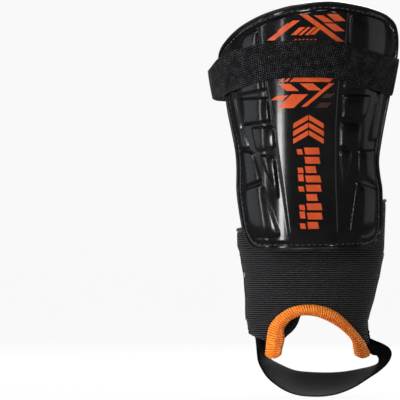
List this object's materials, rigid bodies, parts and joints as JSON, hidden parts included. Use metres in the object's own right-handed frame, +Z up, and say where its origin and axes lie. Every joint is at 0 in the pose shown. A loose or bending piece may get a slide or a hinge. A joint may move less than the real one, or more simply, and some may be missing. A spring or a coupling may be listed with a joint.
{
  "type": "shin guard",
  "caption": "Football shin guard: gloss moulded shell with raised cells, calf strap, knit ankle sleeve with bound instep arch and under-foot stirrup.",
  "frame": {"origin": "on the leg's long axis, at the height of the stirrup's lowest point", "axes": "+Z up along the leg towards the knee, -Y out of the guard's front (shin) face, +X to the right of someone looking at the front"},
  "size_m": [0.1549, 0.1413, 0.3167],
  "materials": {
    "shell_gloss": "gloss black moulded skin",
    "binding": "gloss black rolled edge",
    "plate": "matt",
    "foam": "matt foam",
    "lining": "brushed knit",
    "thread": "twisted thread",
    "print": "orange printed film",
    "strap": "looped pile",
    "hook": "moulded hooks",
    "knit": "ribbed elastic knit",
    "hem_orange": "overlocked thread",
    "hem_dark": "bound edge",
    "stirrup": "smooth woven elastic"
  },
  "bodies": {
    "guard": {"outer_shell": "shell_gloss", "stiffener_plate": "plate", "foam_backing": "foam", "lining": "lining", "edge_binding": "binding", "rim_stitching": "thread", "shard_print": "print", "badge_print": "print", "column_print": "print", "strap_anchor": "strap", "anchor_stitching": "thread", "calf_band": "strap", "calf_loop_patch": "strap", "sleeve_yoke": "knit", "yoke_hem": "hem_dark", "yoke_stitching": "thread", "sleeve_flex": "knit"},
    "strap": {"strap_band": "strap", "strap_stitching": "thread"},
    "tab": {"tab_band": "strap", "hook_patch": "hook", "tab_stitching": "thread"},
    "sleeve": {"sleeve_tube": "knit", "arch_hem": "hem_orange", "heel_hem": "hem_dark", "side_seam_inner": "thread", "side_seam_outer": "thread", "ankle_pad_inner": "foam", "ankle_pad_outer": "foam", "pad_cover_inner": "lining", "pad_cover_outer": "lining"},
    "stirrup": {"stirrup_band": "stirrup", "bartack_left": "thread", "bartack_right": "thread"}
  },
  "joints": [
    {"name": "strap_peel", "type": "hinge", "parent": "guard", "child": "strap", "pos_m": [0.06801, -0.0425, 0.257], "axis": [0, 0, 1], "range_deg": [0, 100]},
    {"name": "tab_peel", "type": "hinge", "parent": "strap", "child": "tab", "pos_m": [-0.08, 0.00559, 0.254], "axis": [0, 0, 1], "range_deg": [0, 80]},
    {"name": "sleeve_fold", "type": "hinge", "parent": "guard", "child": "sleeve", "pos_m": [0, -0.01, 0.117], "axis": [1, 0, 0], "range_deg": [-15, 20], "deforming": ["sleeve_flex"]},
    {"name": "stirrup_swing", "type": "hinge", "parent": "sleeve", "child": "stirrup", "pos_m": [0, -0.012, 0.038], "axis": [1, 0, 0], "range_deg": [-20, 20]}
  ]
}
